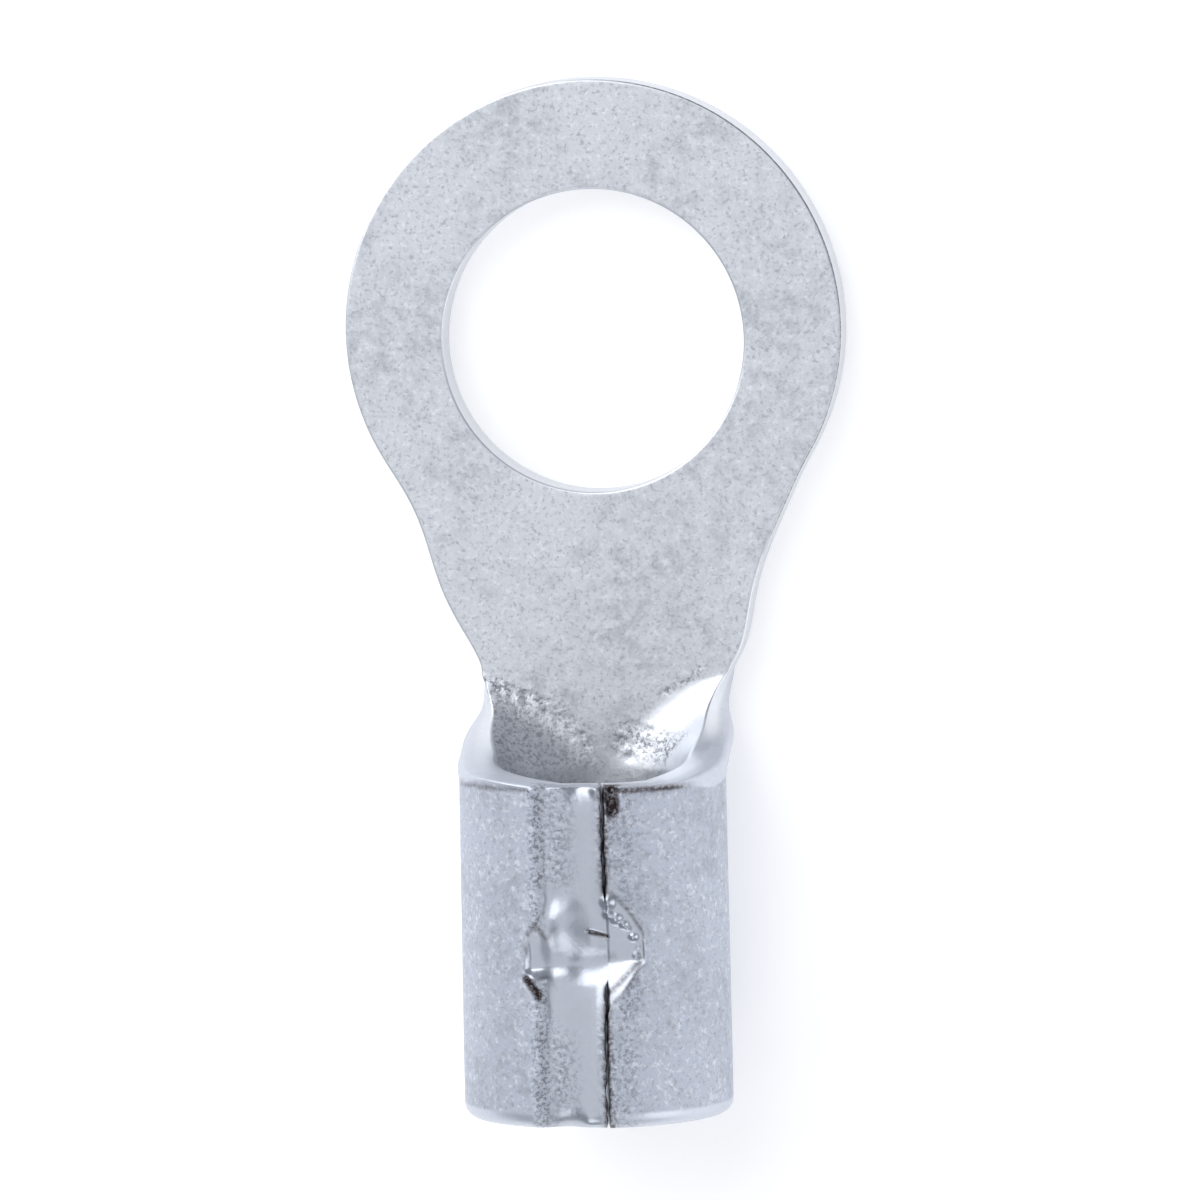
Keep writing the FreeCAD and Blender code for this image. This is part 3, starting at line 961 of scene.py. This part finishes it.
def tin_material(finish):
    """Tin plating: a fine grain of pale and dull specks, soft blotches, and brighter where it was pressed.

    Each layer covers the colour below it by its share.
    """
    material = bpy.data.materials.new("tin_plating")
    n = Nodes(material)
    place = n.add("TexCoord").outputs["Object"]
    pressed, cut, rubbed_sheen, outside, dark_marks_and_shade, torn = [n.attribute(label) for label in Skin.LABELS]
    grain = n.noise(place, finish.grain, 3.0, 0.7)
    fine = n.noise(place, finish.grain * 1.6, 3.0, 0.7)
    cloud = n.noise(place, 0.55, 6.0, 0.7, 0.3)
    blotch = n.noise(place, 3.2, 5.0, 0.75)
    smoothed = n.most(n.times(pressed, 0.45), n.times(cut, 0.7), n.times(rubbed_sheen, 0.55))
    matte = n.most(n.math("SUBTRACT", 1.0, smoothed), torn)
    pale = n.times(n.ramp(grain, 0.51, 0.66), n.times(matte, 0.75))
    spotted = n.times(matte, n.ramp(blotch, 0.35, 0.62, 0.35, 1.0))
    dull = n.times(n.ramp(fine, 0.49, 0.34), n.times(spotted, 0.9))
    patches = n.times(n.ramp(cloud, 0.38, 0.66), n.ramp(blotch, 0.35, 0.65))
    veil = n.times(patches, n.times(matte, 0.65))
    specks = n.times(n.ramp(fine, 0.54, 0.40), torn)
    dark_marks_and_shade_share = n.math("MULTIPLY", dark_marks_and_shade, n.ramp(fine, 0.62, 0.45, 0.7, 1.15), clamp=True)
    layers = (
        # Painted shade and painted bluish sky reflection on the outer faces of the rolled walls and barrel
        (n.times(outside, 0.6), finish.barrel_shade_tint),
        (pale, finish.pale_tin),
        (veil, finish.dull_tin),
        (dull, finish.dull_tin),
        (n.times(cut, 0.25), finish.pale_tin),
        # Pale rubbed inner walls: painted highlight, fullest on the right wall
        (n.times(rubbed_sheen, 0.6), finish.pale_tin),
        (n.times(pressed, 0.8), finish.pressed_tin),
        # Dark specks of torn metal, and the painted shade of the scuffs on the left inner wall
        (n.times(specks, 0.85), finish.dark_tin),
        # Dark marks in the seam, and painted shade in creases and along the ring's right edge
        (dark_marks_and_shade_share, finish.dark_marks_and_shade),
    )
    shade = rgba(finish.tin)
    for share, tint in layers:
        shade = n.mix(share, shade, rgba(tint))
    polish = n.most(pressed, n.times(cut, 0.5), n.times(rubbed_sheen, 0.85))
    polish = n.times(polish, n.math("SUBTRACT", 1.0, n.times(torn, 0.7)))
    matte_low = n.math("ADD", finish.roughness - 0.1, n.times(outside, 0.12))
    spread = n.math("ADD", matte_low, n.times(grain, 0.2))
    rough = n.add("Mix", {0: polish, 2: spread, 3: finish.pressed_roughness}).outputs[0]
    height = n.math("ADD", grain, n.times(fine, 0.5))
    strength = n.math("ADD", n.times(matte, finish.grain_depth), n.times(torn, 0.45))
    relief = n.add("Bump", {"Strength": strength, "Distance": 0.03 * MM, "Height": height})
    values = {"Base Color": shade, "Metallic": 1.0, "Roughness": rough, "Normal": relief.outputs[0]}
    shader = n.add("BsdfPrincipled", values)
    n.add("OutputMaterial", {"Surface": shader.outputs[0]})
    return material


def floor_material(stage):
    """A pale floor that shows white to the camera and to reflections, and keeps the terminal's shadow."""
    material = bpy.data.materials.new("pale_floor")
    n = Nodes(material)
    plain = n.add("BsdfDiffuse", {"Color": rgba(stage.floor)})
    glow = n.add("Emission", {"Color": WHITE, "Strength": stage.floor_glow})
    path = n.add("LightPath")
    seen = n.most(path.outputs["Is Camera Ray"], path.outputs["Is Glossy Ray"])
    none = n.add("Emission", {"Strength": 0.0})
    lit = n.add("MixShader", {0: seen, 1: none.outputs[0], 2: glow.outputs[0]})
    total = n.add("AddShader", {0: plain.outputs[0], 1: lit.outputs[0]})
    n.add("OutputMaterial", {"Surface": total.outputs[0]})
    return material


class TERMINAL_OT_body(bpy.types.Operator):
    """Build the terminal's rolled sheet with its stamped edges and seam"""

    bl_idname = "terminal.body"
    bl_label = "Terminal"

    def execute(self, context):
        """Make the sheet's two faces and its edges, and give them the tin plating."""
        settings = context.scene
        blank = Blank(settings.terminal_sizes, settings.terminal_seam)
        outline = Outline(blank)
        skin = Skin(blank, SeamTools(blank, settings.terminal_seam))
        add_faces(skin, outline, outline.upper, blank.sheet, False)
        add_edges(skin, outline)
        add_faces(skin, outline, outline.lower, 0.0, True)
        piece = bpy.data.objects.new("terminal", skin.mesh("terminal"))
        context.scene.collection.objects.link(piece)
        piece.data.materials.append(tin_material(settings.terminal_finish))
        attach(piece, "root")
        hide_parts(NODE)
        return {"FINISHED"}


class TERMINAL_OT_stage(bpy.types.Operator):
    """Set out the floor, the lights and the camera"""

    bl_idname = "terminal.stage"
    bl_label = "Stage"

    def execute(self, context):
        """Make a plain pale studio and aim the camera as the terminal was photographed."""
        stage = context.scene.terminal_stage
        self.floor(context, stage)
        self.sky(context, stage)
        for lamp in LAMPS:
            self.lamp(context, *lamp)
        self.camera(context, stage)
        return {"FINISHED"}

    def floor(self, context, stage):
        """A square floor just under the lowest level of the terminal."""
        half, z = stage.floor_half, LOW.z - FLOOR_DROP
        corners = [(-half, -half, z), (half, -half, z), (half, half, z), (-half, half, z)]
        mesh = bpy.data.meshes.new("floor")
        mesh.from_pydata(corners, [], [(0, 1, 2, 3)])
        mesh.materials.append(floor_material(stage))
        floor = bpy.data.objects.new("floor", mesh)
        context.scene.collection.objects.link(floor)

    def sky(self, context, stage):
        """Even light from all round, and white behind the floor's edge."""
        world = bpy.data.worlds.new("studio")
        n = Nodes(world)
        light = n.add("Background", {"Color": rgba(stage.sky), "Strength": stage.sky_strength})
        white = n.add("Background", {"Color": WHITE})
        seen = n.add("LightPath").outputs["Is Camera Ray"]
        choice = n.add("MixShader", {0: seen, 1: light.outputs[0], 2: white.outputs[0]})
        n.add("OutputWorld", {"Surface": choice.outputs[0]})
        context.scene.world = world

    def lamp(self, context, name, place, size, radiance):
        """A square soft box that looks at the terminal, with its brightness as seen from there."""
        data = bpy.data.lights.new(name, "AREA")
        data.size = size
        data.energy = radiance * math.pi * size ** 2
        lamp = bpy.data.objects.new(name, data)
        lamp.location = place
        lamp.rotation_euler = Vector(place).to_track_quat("Z", "Y").to_euler()
        lamp.visible_camera = False
        context.scene.collection.objects.link(lamp)

    def camera(self, context, stage):
        """A long lens over the terminal, yawed and pitched from straight above and leaned a little."""
        back = Vector((math.tan(stage.yaw), math.tan(stage.pitch), 1.0)).normalized()
        right = Vector((0.0, 1.0, 0.0)).cross(back).normalized()
        turn = Matrix((right, back.cross(right), back)).transposed()
        aim = Vector((stage.aim_right, -stage.aim_back, context.scene.terminal_sizes.sheet / 2))
        data = bpy.data.cameras.new("camera")
        data.sensor_width = 36.0
        data.lens = data.sensor_width * stage.distance / stage.view_width
        data.clip_start, data.clip_end = 0.01, 10.0
        camera = bpy.data.objects.new("camera", data)
        turn = (turn @ Matrix.Rotation(-stage.lean, 3, "Z")).to_quaternion()
        camera.matrix_world = Matrix.LocRotScale(aim + back * stage.distance, turn, None)
        context.scene.collection.objects.link(camera)
        context.scene.camera = camera
        context.scene.view_settings.view_transform = "Standard"


class TERMINAL_PT_panel(bpy.types.Panel):
    """Sizes, finish and buttons of the ring terminal"""

    bl_label = "Ring terminal"
    bl_space_type = "VIEW_3D"
    bl_region_type = "UI"
    bl_category = "Terminal"

    def draw(self, context):
        """List every property, and the buttons that build from them."""
        for group, _ in GROUPS:
            values = getattr(context.scene, group)
            for name in values.__annotations__:
                self.layout.prop(values, name)
        for operator in OPERATORS:
            self.layout.operator(operator.bl_idname)


GROUPS = (
    ("terminal_sizes", TerminalSizes),
    ("terminal_seam", SeamSizes),
    ("terminal_finish", TerminalFinish),
    ("terminal_stage", TerminalStage),
)
OPERATORS = (TERMINAL_OT_body, TERMINAL_OT_stage)


def register():
    """Add the properties, the operators and the panel."""
    for name, group in GROUPS:
        bpy.utils.register_class(group)
        setattr(bpy.types.Scene, name, bpy.props.PointerProperty(type=group))
    for operator in OPERATORS:
        bpy.utils.register_class(operator)
    bpy.utils.register_class(TERMINAL_PT_panel)


def unregister():
    """Take away what register added."""
    bpy.utils.unregister_class(TERMINAL_PT_panel)
    for operator in reversed(OPERATORS):
        bpy.utils.unregister_class(operator)
    for name, group in reversed(GROUPS):
        delattr(bpy.types.Scene, name)
        bpy.utils.unregister_class(group)


def main():
    """Build the terminal and its stage."""
    register()
    bpy.ops.terminal.body()
    bpy.ops.terminal.stage()


if __name__ == "__main__":
    main()
